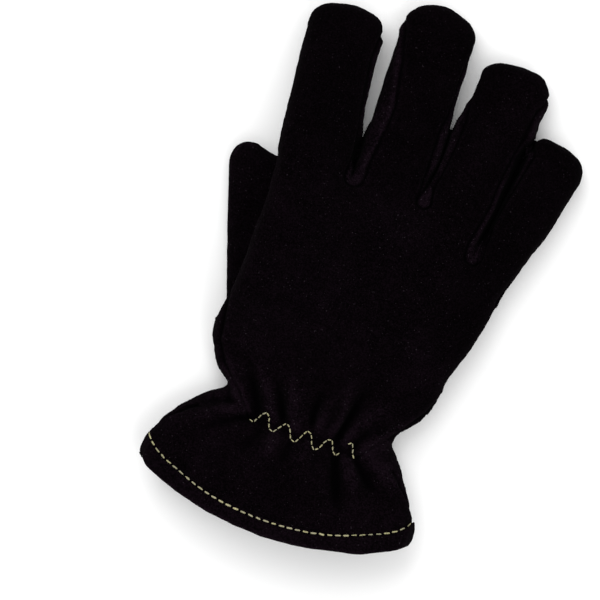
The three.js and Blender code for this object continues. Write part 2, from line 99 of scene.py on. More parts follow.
# %% Small helpers for meshes
def activate(*objects):
    """Selects these objects alone and makes the first the active one."""
    bpy.ops.object.select_all(action="DESELECT")
    for item in objects:
        item.select_set(True)
    bpy.context.view_layer.objects.active = objects[0]


def add_mesh(name, vertices, faces):
    """A new object at the origin, with its place in its mesh."""
    mesh = bpy.data.meshes.new(name)
    mesh.from_pydata([tuple(point) for point in vertices], [], faces)
    item = bpy.data.objects.new(name, mesh)
    bpy.context.scene.collection.objects.link(item)
    return item


def apply_modifier(item, kind, **settings):
    """Adds a modifier with its settings and applies it at once."""
    modifier = item.modifiers.new(kind.title(), kind)
    for key, value in settings.items():
        setattr(modifier, key, value)
    activate(item)
    bpy.ops.object.modifier_apply(modifier=modifier.name)


@contextmanager
def editing(item):
    """Opens a mesh for editing and writes it back at the end."""
    form = bmesh.new()
    form.from_mesh(item.data)
    form.verts.ensure_lookup_table()
    yield form
    form.to_mesh(item.data)
    form.free()


def points_of(item):
    """The vertices' places, a row for each."""
    flat = np.empty(len(item.data.vertices) * 3)
    item.data.vertices.foreach_get("co", flat)
    return flat.reshape(-1, 3)


def normals_of(item):
    """The vertices' normals, a row for each."""
    flat = np.empty(len(item.data.vertices) * 3)
    item.data.vertices.foreach_get("normal", flat)
    return flat.reshape(-1, 3)


def move_points(item, points):
    """Puts the vertices at new places."""
    item.data.vertices.foreach_set("co", points.ravel())
    item.data.update()


def smooth_step(low, high, value):
    """Nothing below low, 1 above high and smooth between them."""
    share = np.clip((value - low) / (high - low), 0, 1)
    return share * share * (3 - 2 * share)


def bell(distance, breadth):
    """1 at no distance, falling away smoothly over a breadth."""
    return np.exp(-((distance / breadth) ** 2))


def joined(items):
    """The corners and triangles of objects together, in lists."""
    corners, triangles = [], []
    for item in items:
        start = len(corners)
        corners.extend(vertex.co.copy() for vertex in item.data.vertices)
        triangles.extend([start + index for index in face.vertices] for face in item.data.polygons)
    return corners, triangles


def mesh_of(*names):
    """The same for CAD nodes."""
    return joined([nodes[name] for name in names])

# %% [markdown]
# ## The skin
# A real glove is one bag of leather panels, pulled over itself by its seams. The CAD panels are walls
# with an outer and an inner face, so the outer faces are kept, the open ends are closed, and a voxel
# remesh grows one even skin over them that can be smoothed, wrinkled and cut into panels again.
# A face looks outwards where enough rays from it leave the glove.

# %% Keep the faces that look outwards
STRIP_PANELS = ("fourchette_index_middle", "fourchette_middle_ring", "fourchette_ring_pinky")
BODY_PANELS = ("back_panel", "palm_panel") + STRIP_PANELS
THUMB_PANELS = ("thumb_back", "thumb_front")
RAY_COUNT = 64
RAY_START = 0.3 * MM
# Rays flatter than this don't count, and this share of the others has to leave the glove. Round the
# thumb's hole the share is larger, since rays also leave through the hole.
LEAST_SLOPE = 0.1
FREE_SHARE = 0.035
FREE_SHARE_AT_HOLE = 0.45
HOLE_REACH = 30 * MM
GOLDEN_ANGLE = math.pi * (3 - math.sqrt(5))


def ray_directions(count):
    """Directions spread evenly over a sphere, along a spiral."""
    directions = []
    for step in range(count):
        height = 1 - 2 * (step + 0.5) / count
        radius = math.sqrt(1 - height * height)
        turn = step * GOLDEN_ANGLE
        directions.append(Vector((radius * math.cos(turn), radius * math.sin(turn), height)))
    return directions


HEM_WALL_COLUMNS = 24
HEM_WALL_HEIGHTS = (-2 * MM, 50 * MM)
HEM_WALL_MARGIN = 2 * MM


def wall_on(places, heights):
    """A wall that stands on a line of places."""
    corners = [Vector((place[0], place[1], height)) for place in places for height in heights]
    faces = [[start, start + 2, start + 3, start + 1] for start in range(0, len(corners) - 2, 2)]
    return corners, faces


def hem_wall():
    """A wall that follows the hem and closes the cuff's mouth."""
    places = []
    for column in range(HEM_WALL_COLUMNS + 1):
        x = hem_middle + (2 * column / HEM_WALL_COLUMNS - 1) * (hem_half + HEM_WALL_MARGIN)
        places.append((x, hem_line(x) - RAY_START))
    return wall_on(places, HEM_WALL_HEIGHTS)


# Where two fingers touch above their crotch, in millimetres from the wrist's notch
FINGER_TOUCHES = [((19.5, 128), (21.5, 162)), ((55.0, 112), (61.5, 168))]
WEB_HEIGHTS = (4 * MM, 15 * MM)


def finger_web(touch):
    """A low wall in the slit between two fingers, so that they stay together up to its end."""
    return wall_on([wrist + Vector((x, y, 0)) * MM for x, y in touch], WEB_HEIGHTS)


def outward_faces(corners, faces, hole):
    """The faces from which enough rays leave the glove while its mouth is closed by the wall."""
    wall_corners, wall_faces = hem_wall()
    shifted = [[len(corners) + index for index in face] for face in wall_faces]
    tree = BVHTree.FromPolygons(corners + wall_corners, faces + shifted)
    kept = []
    directions = ray_directions(RAY_COUNT)
    for face in faces:
        a, b, c = (corners[index] for index in face)
        normal = (b - a).cross(c - a).normalized()
        centre = (a + b + c) / 3
        start = centre + normal * RAY_START
        ahead = [way for way in directions if way.dot(normal) > LEAST_SLOPE]
        free = sum(1 for way in ahead if tree.ray_cast(start, way)[0] is None)
        near_hole = (centre - hole).length < HOLE_REACH
        needed = FREE_SHARE_AT_HOLE if near_hole else FREE_SHARE
        if free > needed * len(ahead):
            kept.append(face)
    return kept


def outward_sheet(names, name, hole):
    """The outer faces of some CAD panels as one mesh, with the thumb's hole filled and the walls."""
    corners, faces = mesh_of(*names)
    sheet = add_mesh(name, corners, outward_faces(corners, faces, hole))
    with editing(sheet) as form:
        bmesh.ops.remove_doubles(form, verts=form.verts, dist=DOUBLES)
        bmesh.ops.delete(form, geom=[v for v in form.verts if not v.link_faces], context="VERTS")
        bare = [edge for edge in form.edges if edge.is_boundary]
        rim = [edge for edge in bare if all((v.co - hole).length < HOLE_REACH for v in edge.verts)]
        filled = bmesh.ops.triangle_fill(form, edges=rim, use_beauty=True)
        print(name, "rim of the thumb's hole", len(rim), "edges, filled with", len(filled["geom"]), "parts")
        walls = [hem_wall()] + [finger_web(touch) for touch in FINGER_TOUCHES]
        for added_corners, added_faces in walls:
            wall = [form.verts.new(corner) for corner in added_corners]
            for face in added_faces:
                form.faces.new([wall[index] for index in face])
    return sheet


thumb_low, thumb_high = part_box("thumb_front")
thumb_root = Vector((thumb_high.x - 8 * MM, thumb_low.y + 14 * MM, thumb_high.z))
skin = outward_sheet(BODY_PANELS, "skin", thumb_root)
print("outer sheet:", len(skin.data.polygons), "faces")


# %% [markdown]
# ## One even skin
# Voxels of 1.5 millimetres are small enough to keep the slits between the fingers open and coarse enough
# to smooth quickly. The wall that closed the mouth is cut away again along the hem, where the binding
# hides the edge. Smoothing rounds the leather a little too much in places, so small pushes bring its
# outline back. Each is a soft bell that moves only what faces the right way, so that the far side of a
# slit stays where it is.

# %% Tools that cut and push the skin
def keep_largest(item):
    """Deletes every loose part of a mesh but the largest."""
    with editing(item) as form:
        seen = [False] * len(form.verts)
        parts = []
        for vertex in form.verts:
            if seen[vertex.index]:
                continue
            seen[vertex.index] = True
            part, waiting = [], [vertex]
            while waiting:
                current = waiting.pop()
                part.append(current)
                for edge in current.link_edges:
                    other = edge.other_vert(current)
                    if not seen[other.index]:
                        seen[other.index] = True
                        waiting.append(other)
            parts.append(part)
        parts.sort(key=len)
        for part in parts[:-1]:
            bmesh.ops.delete(form, geom=part, context="VERTS")


def trim(item, beyond):
    """Deletes the vertices that the test names."""
    with editing(item) as form:
        gone = [vertex for vertex in form.verts if beyond(vertex.co)]
        bmesh.ops.delete(form, geom=gone, context="VERTS")


def from_wrist(points):
    """Points as x and y in millimetres from the wrist's notch."""
    return (points[:, 0] - wrist.x) / MM, (points[:, 1] - wrist.y) / MM


def push(item, moves, outwards=True):
    """Moves what faces along a move, or against it, round a place seen from above."""
    points, normals = points_of(item), normals_of(item)
    x, y = from_wrist(points)
    for (middle_x, middle_y), (move_x, move_y), reach in moves:
        share = bell(np.hypot(x - middle_x, y - middle_y), reach)
        facing = (normals[:, 0] * move_x + normals[:, 1] * move_y) / math.hypot(move_x, move_y)
        share = share * smooth_step(-0.35, 0.35, facing if outwards else -facing)
        points[:, 0] += move_x * share * MM
        points[:, 1] += move_y * share * MM
    move_points(item, points)


# The middle of the slit between index and middle finger, in millimetres from the wrist's notch
FIRST_SLIT_Y = (119, 143, 158, 200)
FIRST_SLIT_X = (-18.5, -20.3, -21.2, -26)
SPREAD_REACH = 9
# The two sides of a slit that is closed go a little past its middle
CLOSING = 1.06


def spread(item, amount, softness, window):
    """Opens the first slit, or closes it for a negative amount, where the window's four y say."""
    points = points_of(item)
    x, y = from_wrist(points)
    off = x - np.interp(y, FIRST_SLIT_Y, FIRST_SLIT_X)
    side = abs(off) / np.sqrt(off**2 + softness**2)
    start, full, fading, end = window
    share = side * bell(off, SPREAD_REACH)
    share = share * smooth_step(start, full, y) * (1 - smooth_step(fading, end, y))
    move = np.maximum(amount * share, -CLOSING * abs(off))
    points[:, 0] += np.sign(off) * move * MM
    move_points(item, points)


# %% Grow, trim and smooth the skin
VOXEL = 1.5 * MM
SMOOTH_TURNS = 16
HEM_TRIM = 1.2 * MM
# Places in millimetres from the wrist's notch, the move there and how far it reaches
PUSHES = [
    ((-4, 220), (0, 2.6), 14),
    ((57, 205), (1.4, 1.9), 10),
    ((59, 173), (2.8, 0.2), 8),
    ((66, 169), (-3.2, 1.4), 6),
    ((70, 175), (-0.6, 1.6), 6),
    ((25, 167), (-2.6, 0), 7),
    ((19, 167), (1.6, 0), 6),
    ((77, 97), (1.3, 0), 16),
    ((50, 10), (0.9, -0.6), 10),
    ((56, 18), (1.3, -0.9), 8),
    ((-61, 28), (-1.4, 0), 13),
    ((62, 190), (1.0, 0), 8),
]
PULLS = [((-44, 1), (1.5, 0.8), 6)]
SLIT_WINDOW = (140, 149, 168, 190)
SLIT_END_WINDOW = (128, 136, 142, 158)

# The remesh would close the first slit's narrow end, so it is opened before and narrowed after.
spread(skin, 2.4, 0.4, SLIT_WINDOW)
apply_modifier(skin, "REMESH", mode="VOXEL", voxel_size=VOXEL)
keep_largest(skin)
apply_modifier(skin, "SMOOTH", factor=0.5, iterations=SMOOTH_TURNS)
trim(skin, lambda place: place.y < hem_line(place.x) + HEM_TRIM)
keep_largest(skin)
spread(skin, -1.4, 2.4, SLIT_WINDOW)
spread(skin, -3.4, 2.0, SLIT_END_WINDOW)
print("skin:", len(skin.data.polygons), "faces")

# %% [markdown]
# ## Panels and seams
# Every point of the skin belongs to the CAD panel that lies nearest. The distance to the next panel,
# less the distance to its own, is nothing on a seam and grows away from it, so one number per point
# says where the leather turns down into a seam. At the wrist the elastic draws the side seams in, so
# there they follow a line of their own. Faces beside a seam, in the gathers and in the valleys between
# the fingers are split once more for a crisp turn.

# %% Tools that find the panels
def panel_distances(points, names):
    """The distance from each point to each of some CAD panels."""
    columns = []
    for name in names:
        tree = BVHTree.FromPolygons(*mesh_of(name))
        columns.append([tree.find_nearest(point)[3] for point in points])
    return np.array(columns).T


def seam_field(item, names):
    """For each point the number of its panel and its distance from the nearest seam."""
    distances = panel_distances([Vector(point) for point in points_of(item)], names)
    order = np.sort(distances, axis=1)
    return distances.argmin(axis=1), order[:, 1] - order[:, 0]


def split_where(item, chosen):
    """Splits the faces whose vertices are all chosen."""
    with editing(item) as form:
        near = [face for face in form.faces if all(chosen[v.index] for v in face.verts)]
        edges = list({edge for face in near for edge in face.edges})
        bmesh.ops.subdivide_edges(form, edges=edges, cuts=1, use_grid_fill=True)


def line_distance(x, y, line):
    """The distance from points to a line of points, seen from above."""
    best = np.full_like(x, 1e9)
    for (ax, ay), (bx, by) in zip(line[:-1], line[1:]):
        span = (bx - ax) ** 2 + (by - ay) ** 2
        share = np.clip(((x - ax) * (bx - ax) + (y - ay) * (by - ay)) / span, 0, 1)
        best = np.minimum(best, np.hypot(x - ax - share * (bx - ax), y - ay - share * (by - ay)))
    return best


def inside(x, y, outline):
    """Whether points lie inside an outline, seen from above."""
    found = np.zeros(len(x), bool)
    for (ax, ay), (bx, by) in zip(outline, outline[1:] + outline[:1]):
        crosses = (ay > y) != (by > y)
        found ^= crosses & (x < (bx - ax) * (y - ay) / (by - ay + 1e-12) + ax)
    return found


def relax(item, share, turns):
    """Smooths a mesh where share is 1 and leaves it as it is where share is 0."""
    points = points_of(item)
    ends = np.empty(len(item.data.edges) * 2, np.int32)
    item.data.edges.foreach_get("vertices", ends)
    first, second = ends.reshape(-1, 2).T
    around = np.maximum(np.bincount(ends, minlength=len(points)), 1)
    for _ in range(turns):
        for axis in range(3):
            line = points[:, axis]
            total = np.bincount(first, line[second], len(line))
            total = total + np.bincount(second, line[first], len(line))
            points[:, axis] = line + 0.5 * share * (total / around - line)
    move_points(item, points)


# %% Find the seams
SEAM_REACH = 2.8 * MM
# The back's side seams near the wrist, seen from above, in millimetres from the wrist's notch. Each
# ends with a turn outwards along the elastic, which bounds the back but is no seam.
RADIAL_SEAM = [(-59.2, 47), (-57.8, 36), (-55.8, 21), (-49.7, 11), (-39, 0.8), (-28.5, -12.5)]
RADIAL_TURN = [(-55, -11.5)]
ULNAR_SEAM = [(62.8, 33), (57, 20), (43.2, 2.5), (30.5, -13.6)]
ULNAR_TURN = [(55, -13.5)]
BELOW_ELASTIC = [(-55, -40), (55, -40)]
ABOVE_WRIST = [(66, 60), (-61, 60)]
BACK_AT_WRIST = RADIAL_SEAM + RADIAL_TURN + BELOW_ELASTIC + ULNAR_TURN + ULNAR_SEAM[::-1] + ABOVE_WRIST
ELASTIC_FOOT = -14
# A point whose normal rises at least this much is seen from above
UPWARD_LIMIT = -0.1


def panels_of(item):
    """The panel number and seam distance of each point, with the wrist's own side seams."""
    owner, distance = seam_field(item, BODY_PANELS)
    points, normals = points_of(item), normals_of(item)
    x, y = from_wrist(points)
    top = np.where(x < 0, RADIAL_SEAM[0][1] - 1, ULNAR_SEAM[0][1] - 2)
    near = (y < top) & (y > ELASTIC_FOOT)
    at_wrist = (normals[:, 2] > UPWARD_LIMIT) & near
    side = np.minimum(line_distance(x, y, RADIAL_SEAM), line_distance(x, y, ULNAR_SEAM))
    on_back = inside(x, y, BACK_AT_WRIST)
    owner[at_wrist] = np.where(on_back, 0, 1)[at_wrist]
    distance[at_wrist] = side[at_wrist] * MM
    under = (normals[:, 2] <= UPWARD_LIMIT) & near
    owner[under] = 1
    distance[under] = np.maximum(distance[under], 4 * MM)
    return owner, distance


# %% [markdown]
# ## Room for the valleys
# Between two fingers the narrow strip folds down into a valley. A voxel mesh is ragged in such a fold, so
# the points near it are first evened out, and then the faces there are split.

# %% Push the outline back and split the faces that need it
push(skin, PUSHES)
push(skin, PULLS, outwards=False)
# A valley's line from its open end, seen from above, its depth and its breadth at the start and end
VALLEYS = [
    (((-20.6, 145), (-20.2, 131.5), (-19.2, 119.5)), 3.6, (1.4, 1.0)),
    (((21.5, 163), (21.8, 146), (19.5, 135), (17.6, 121)), 3.6, (1.5, 1.0)),
    (((61, 168), (59.6, 143), (57.8, 128), (54.6, 115), (52.6, 104)), 6.0, (3.4, 1.2)),
]
VALLEY_REACH = 3.5
RING_LITTLE_NOTCH = (64, 165)
RELAX_TURNS = 40


def from_valleys(x, y):
    """The distance to the nearest valley, seen from above."""
    return np.min([line_distance(x, y, line) for line, _, _ in VALLEYS], axis=0)


x, y = from_wrist(points_of(skin))
notch_off = np.hypot(x - RING_LITTLE_NOTCH[0], y - RING_LITTLE_NOTCH[1]) - 1.5
off = np.minimum(from_valleys(x, y), notch_off)
in_valley = (1 - smooth_step(2.0, 4.5, off)) * smooth_step(-0.2, 0.3, normals_of(skin)[:, 2])
relax(skin, in_valley, RELAX_TURNS)
x, y = from_wrist(points_of(skin))
gathered = (abs(x) < 52) & (y > -42) & (y < 28) & (normals_of(skin)[:, 2] > 0)
split_where(skin, gathered)
split_where(skin, panels_of(skin)[1] < SEAM_REACH)
split_where(skin, from_valleys(*from_wrist(points_of(skin))) < VALLEY_REACH)
owner, seam_distance = panels_of(skin)
print("skin with seams:", len(skin.data.polygons), "faces")

# %% [markdown]
# ## Gathers, seams and wrinkles
# Elastic sewn inside the wrist draws the leather into folds that fan out towards the hand and the
# cuff. Each fold here is a line of three points, in millimetres from the wrist's notch, with a breadth
# and a rise; a furrow has a negative rise. A simulation would put its folds anywhere, and these have to
# lie where the real glove has them, so points are moved.

# %% The folds round the elastic
HAND_FOLDS = [
    (((-29.7, -10.7), (-40, 0), (-54, 19)), 2.6, 1.1),
    (((-25.5, -6.5), (-32, 5), (-45, 25)), 2.3, -1.8),
    (((-16.2, -8.5), (-24.5, 5), (-38, 23)), 2.4, 1.5),
    (((-11.7, -7.2), (-16.8, 3.5), (-28, 24)), 2.2, -1.7),
    (((-3.4, -10.9), (-9.5, 3), (-12.5, 22)), 2.4, 1.4),
    (((3.2, -5.5), (2.4, 6), (5, 20)), 2.1, -1.7),
    (((6.7, -6), (7.4, 3.8), (8.8, 14)), 1.9, 1.1),
    (((11, -4), (12, 6), (12.4, 15)), 1.5, -1.0),
    (((14.6, -6), (16.8, 9), (14.8, 27)), 2.2, 1.4),
    (((18, -8), (20.8, 9), (27, 35)), 2.9, -2.2),
    (((22.1, -8), (28, 6.5), (43, 24)), 3.0, 1.5),
    (((26.9, -9), (31, 0), (40, 9)), 1.9, -1.4),
    (((31.6, -11.4), (41, 0), (58, 21)), 2.8, 1.2),
    (((-43.4, 0), (-42, -5), (-39.4, -9)), 1.3, -0.9),
    (((-20, -7), (-19.5, -3), (-21, 2)), 1.3, -0.7),
    (((-8, -8), (-5, -2), (-4.5, 5)), 1.3, -0.7),
]
CUFF_FOLDS = [
    (((-29.1, -12.1), (-45, -20), (-62, -36)), 2.6, -1.4),
    (((-34.3, -9.5), (-50, -18), (-68, -33)), 2.8, 1.0),
    (((-38.4, -6.5), (-51, -10.5), (-64, -21)), 2.0, -1.1),
    (((-20.3, -15.6), (-24.5, -24), (-29.5, -36)), 2.5, -1.1),
    (((-13, -15), (-15, -24), (-19, -34)), 2.6, 0.9),
    (((-4.4, -16.3), (-5.4, -25), (-6.6, -37)), 2.2, -1.2),
    (((3.5, -15), (3, -24), (2, -36)), 2.6, 0.8),
    (((9.5, -17), (11, -25), (12, -33)), 1.8, -0.9),
    (((19.5, -15.5), (25, -31), (35, -54)), 2.4, -2.2),
    (((25.1, -15.5), (30, -23), (36, -34)), 2.6, 1.2),
    (((30.1, -14), (41, -24), (54, -31)), 2.5, -1.7),
    (((38.6, -11.5), (47.2, -16.8), (57, -26)), 2.8, 1.1),
]
FOLD_STEPS = 24


def fold_field(x, y, folds):
    """The height that folds add at points given in millimetres from the wrist's notch."""
    height = np.zeros_like(x)
    share = np.linspace(0, 1, FOLD_STEPS)
    # How much the start, the bend and the end weigh in a curve that passes through all three
    weights = [2 * (share - 0.5) * (share - 1), 4 * share * (1 - share), 2 * share * (share - 0.5)]
    for places, breadth, rise in folds:
        line_x, line_y = np.array(places).T @ np.array(weights)
        off = np.hypot(x[:, None] - line_x, y[:, None] - line_y)
        nearest = off.argmin(axis=1)
        along = share[nearest]
        fade = smooth_step(-0.12, 0.1, along) * (1 - smooth_step(0.4, 1, along))
        height += rise * fade * bell(off.min(axis=1), breadth * (0.85 + 0.9 * along))
    return height


def cloud(points, size, seed, octaves=3):
    """Even noise from about -1 to 1 with lumps of a size."""
    shift = Vector((seed, 2 * seed, 3 * seed))
    return np.array([fractal(Vector(point) / size + shift, 0.7, 2.1, octaves) for point in points])


# %% Where the elastic and the slits lie
ELASTIC_HALF = 31
LIP_FROM_SEAM = 1.9
GROWTH = 1.0
FLOOR_GAP = 0.15 * MM
# The middle of each slit between two fingers, where the leather mustn't grow
SLITS = [
    ((-18.5, 119), (-20.3, 143), (-22.5, 165), (-26, 200)),
    ((18.5, 122), (21.6, 160), (21.5, 200)),
    ((53, 105), (60.5, 160), (64, 178)),
]
# The elastic's two ends, seen from above, in millimetres from the wrist's notch
ELASTIC_ENDS = ((-28.5, -10.6), (29.2, -12.4))


def elastic_height(x):
    """Where the middle of the elastic lies at x, in millimetres from the wrist's notch."""
    (start_x, start_y), (end_x, end_y) = ELASTIC_ENDS
    return start_y + (end_y - start_y) * (x - start_x) / (end_x - start_x)


print("elastic from", ELASTIC_ENDS[0], "to", ELASTIC_ENDS[1], "mm")

# %% Folds, pinch and seams as heights in millimetres
points, normals = points_of(skin), normals_of(skin)
x, y = from_wrist(points)
upward = smooth_step(-0.1, 0.5, normals[:, 2])
from_hem = (points[:, 1] - hem_line(points[:, 0])) / MM
loose = smooth_step(9, 15, from_hem)
seam = seam_distance / MM
near_wrist = (abs(x) < 80) & (abs(y + 10) < 60) & (normals[:, 2] > -0.2)
folds = np.zeros(len(points))
folds[near_wrist] = fold_field(x[near_wrist], y[near_wrist], HAND_FOLDS + CUFF_FOLDS)
pinch = -1.1 * bell(y - elastic_height(x), 4.2)
pinch = pinch * (1 - smooth_step(0.85, 1.1, abs(x) / ELASTIC_HALF))
strip = owner >= 2
seam_groove = -1.0 * bell(seam, 0.75)
seam_lip = np.where(strip, 0.55, 0.2) * bell(seam - LIP_FROM_SEAM, 0.8)
pillow = -0.55 * (1 - smooth_step(0, 10, seam))
print("folds from", round(folds.min(), 1), "to", round(folds.max(), 1), "mm")

# %% [markdown]
# ## Let the strips sink and move the leather
# The strips sink straight down. Everything else moves along the surface's normal, and low noise makes
# the hide slack and puckered.

# %% The valleys between the fingers, as a drop in millimetres
valley = np.zeros(len(points))
for line, depth, (breadth, end_breadth) in VALLEYS:
    off = line_distance(x, y, line)
    along = np.clip((line[0][1] - y) / (line[0][1] - line[-1][1]), 0, 1)
    fade = smooth_step(-0.05, 0.1, along) * (1 - smooth_step(0.65, 1, along))
    valley += depth * fade * bell(off, breadth + (end_breadth - breadth) * along)
deep = np.nonzero(valley > 0.01)[0]
from_back = np.zeros(len(points))
from_back[deep] = panel_distances([Vector(points[index]) for index in deep], ["back_panel"])[:, 0] / MM
valley *= smooth_step(0.0, 0.5, normals[:, 2]) * smooth_step(0.7, 2.2, from_back)
print("valleys down to", round(valley.max(), 1), "mm")

# %% Move the leather
slack = 0.55 * cloud(points, 34 * MM, 3) + 0.16 * cloud(points, 10 * MM, 7)
pucker = 0.2 * cloud(points, 4.5 * MM, 11, 2) * bell(seam, 6)
height = (folds + pinch) * upward + seam_groove + seam_lip + pillow + pucker + slack
slit = np.min([line_distance(x, y, line) for line in SLITS], axis=0)
may_grow = np.maximum(smooth_step(1.5, 6, slit), smooth_step(0.5, 0.8, abs(normals[:, 2])))
growth = GROWTH * may_grow
shaped = points + normals * ((height + growth) * loose * MM)[:, None]
shaped[:, 2] -= valley * MM
shaped[:, 2] = np.maximum(shaped[:, 2], FLOOR_GAP)
move_points(skin, shaped)
print("leather moved by", round(height.min(), 1), "to", round(height.max(), 1), "mm")

# %% [markdown]
# ## Cut into panels
# The skin is cut along the seams, because each panel of a real glove is its own piece of hide. Each
# panel then gets the leather's thickness inwards, so the cuff can be looked into.

# %% One piece for each panel
PIECES = {
    "back_leather": ("back_panel", "back_suede"),
    "palm_leather": ("palm_panel", "palm_suede"),
    "strip_index_middle": ("fourchette_index_middle", "strip_suede"),
    "strip_middle_ring": ("fourchette_middle_ring", "strip_suede"),
    "strip_ring_little": ("fourchette_ring_pinky", "strip_suede"),
}
SMOOTH_ANGLE = math.radians(50)


def store(item, name, values):
    """Keeps one number per point for the piece's material."""
    attribute = item.data.attributes.new(name, "FLOAT", "POINT")
    attribute.data.foreach_set("value", np.asarray(values, np.float32))


def cut_panel(item, name, number, owner):
    """A new object with the faces of one panel."""
    piece = item.copy()
    piece.data = item.data.copy()
    piece.name = piece.data.name = name
    bpy.context.scene.collection.objects.link(piece)
    with editing(piece) as form:
        others = [face for face in form.faces if owner[max(v.index for v in face.verts)] != number]
        bmesh.ops.delete(form, geom=others, context="FACES")
    keep_largest(piece)
    apply_modifier(piece, "SOLIDIFY", thickness=WALL, offset=-1)
    activate(piece)
    bpy.ops.object.shade_smooth_by_angle(angle=SMOOTH_ANGLE)
    return piece


# %% [markdown]
# ## Painted highlight and shade
# The suede is made paler in places, paler still as a painted highlight on ridges and seam lips, and black
# as painted shade in its folds. Two numbers per point say so to the
# material: how pale and highlighted the point is and how deep it lies. A painted map would need unwrapping.
# material: how rubbed the nap is and how deep the point lies. A painted map would need unwrapping.

# %% Where the suede is made paler, highlighted and shaded, and the cut
CROTCHES = ((-18.5, 119), (18, 121), (52, 104))
RING_FINGER = [(38, 140), (52, 200)]
# Where the hand's back is paler, how far that reaches and how much it is
PALE_PATCHES = [((-44, 34), 18, 0.16), ((54, 40), 13, 0.22), ((-5, 67), 15, 0.08), ((8, 112), 12, 0.06)]
# The colour is made paler towards the wrist, along the ring finger, round the gathers and the cuff, in
# patches, on the strips and at the crotches.
pale_tone = 0.14 * (1 - smooth_step(105, 150, y)) * (1 - smooth_step(35, 60, x) * smooth_step(0, 30, y))
pale_tone += 0.12 * bell(line_distance(x, y, RING_FINGER), 8)
pale_tone += 0.16 * bell(y + 2, 16) + 0.08 * smooth_step(5, 40, x) * (1 - smooth_step(-20, 0, y))
for (patch_x, patch_y), patch_reach, patch_share in PALE_PATCHES:
    pale_tone += patch_share * bell(np.hypot(x - patch_x, y - patch_y), patch_reach)
pale_tone += np.where(strip, 0.3, 0)
for crotch_x, crotch_y in CROTCHES:
    pale_tone += 0.5 * np.where(strip, bell(np.hypot(x - crotch_x, y - crotch_y), 7), 0)
# Painted highlight: fold crests that face upwards and the lips beside the seams are made paler.
ridge_highlight = np.maximum(folds, 0) * upward + np.where(strip, 0.9, 0.25) * bell(seam - LIP_FROM_SEAM, 1.0)
lightening = (pale_tone + 0.7 * ridge_highlight) * (1 + 0.6 * cloud(points, 6 * MM, 5))
# Painted shade: the lower a point lies in a furrow, seam groove or valley, the darker it is painted.
painted_shade = -(height - slack) / 2 + valley / 3
store(skin, "pale_and_painted_highlight", np.clip(lightening, 0, 1))
store(skin, "depth", np.clip(painted_shade, 0, 1))
leather = {}
for number, name in enumerate(PIECES):
    leather[name] = cut_panel(skin, name, number, owner)
    print(name, len(leather[name].data.polygons), "faces")
bpy.data.objects.remove(skin)

# %% [markdown]
# ## The thumb
# The thumb is a separate bag that lies under the palm's edge. Its two halves together are so nearly
# convex that their convex hull is its outer shape, and that closes its root too, which is sewn to the
# palm underneath.

# %% Model the thumb
def hull_of(names, name):
    """The convex hull of some CAD nodes."""
    corners, _ = mesh_of(*names)
    item = add_mesh(name, corners, [])
    with editing(item) as form:
        made = bmesh.ops.convex_hull(form, input=form.verts)
        left_over = made["geom_interior"] + made["geom_unused"]
        spare = {part for part in left_over if isinstance(part, bmesh.types.BMVert)}
        bmesh.ops.delete(form, geom=list(spare), context="VERTS")
    return item


THUMB_VOXEL = 1.3 * MM
THUMB_SMOOTH_TURNS = 45
THUMB_GROWTH = 0.5 * MM
# The thumb's end slopes down towards the index finger
THUMB_PULLS = [((-64, 127), (-1.2, -4.5), 8), ((-57, 126), (0, -4.5), 6)]
thumb = hull_of(THUMB_PANELS, "thumb_leather")
apply_modifier(thumb, "REMESH", mode="VOXEL", voxel_size=THUMB_VOXEL)
apply_modifier(thumb, "SMOOTH", factor=0.5, iterations=THUMB_SMOOTH_TURNS)
points, normals = points_of(thumb), normals_of(thumb)
points[:, :2] += normals[:, :2] * THUMB_GROWTH
points[:, 2] += normals[:, 2] * THUMB_GROWTH * 0.5
move_points(thumb, points)
push(thumb, THUMB_PULLS, outwards=False)
thumb_seam = seam_field(thumb, THUMB_PANELS)[1]
split_where(thumb, thumb_seam < SEAM_REACH)
thumb_seam = seam_field(thumb, THUMB_PANELS)[1] / MM
points, normals = points_of(thumb), normals_of(thumb)
height = -0.8 * bell(thumb_seam, 0.8) + 0.35 * bell(thumb_seam - 2, 0.9)
height += 0.35 * cloud(points, 20 * MM, 4) + 0.14 * cloud(points, 7 * MM, 8)
shaped = points + normals * (height * MM)[:, None]
shaped[:, 2] = np.maximum(shaped[:, 2], FLOOR_GAP)
move_points(thumb, shaped)
# Painted highlight on the lips beside the thumb's seam, over a slightly paler tone.
store(thumb, "pale_and_painted_highlight", np.clip(0.14 + 0.5 * bell(thumb_seam - 2, 1.1), 0, 1))
# Painted shade in the thumb's seam groove.
store(thumb, "depth", bell(thumb_seam, 1.2))
activate(thumb)
bpy.ops.object.shade_smooth()
print("thumb:", len(thumb.data.polygons), "faces")

# %% [markdown]
# ## Binding and pull tab
# A strip of the same suede folds over the raw edge of the cuff, and a tongue for pulling the glove on
# lies under it. Both are remeshed copies of their CAD nodes, finely enough to keep their thin walls, so
# that smoothing rounds their edges as leather's are.

# %% Round the binding and the tab
def remeshed(node, name, voxel, iterations):
    """A copy of a CAD node with an even mesh and rounded edges."""
    corners, faces = mesh_of(node)
    item = add_mesh(name, corners, faces)
    with editing(item) as form:
        bmesh.ops.remove_doubles(form, verts=form.verts, dist=DOUBLES)
    apply_modifier(item, "REMESH", mode="VOXEL", voxel_size=voxel)
    apply_modifier(item, "SMOOTH", factor=0.5, iterations=iterations)
    return item


def drape(tree, place, above):
    """The leather's point and normal above or below a place."""
    start = Vector((place[0], place[1], 0.1 if above else -0.1))
    hit, normal, _, _ = tree.ray_cast(start, Vector((0, 0, -1 if above else 1)))
    return hit, normal


def hem_share(x):
    """How far along the hem x lies: nothing in its middle and 1 at a corner."""
    return (x - hem_middle) / hem_half


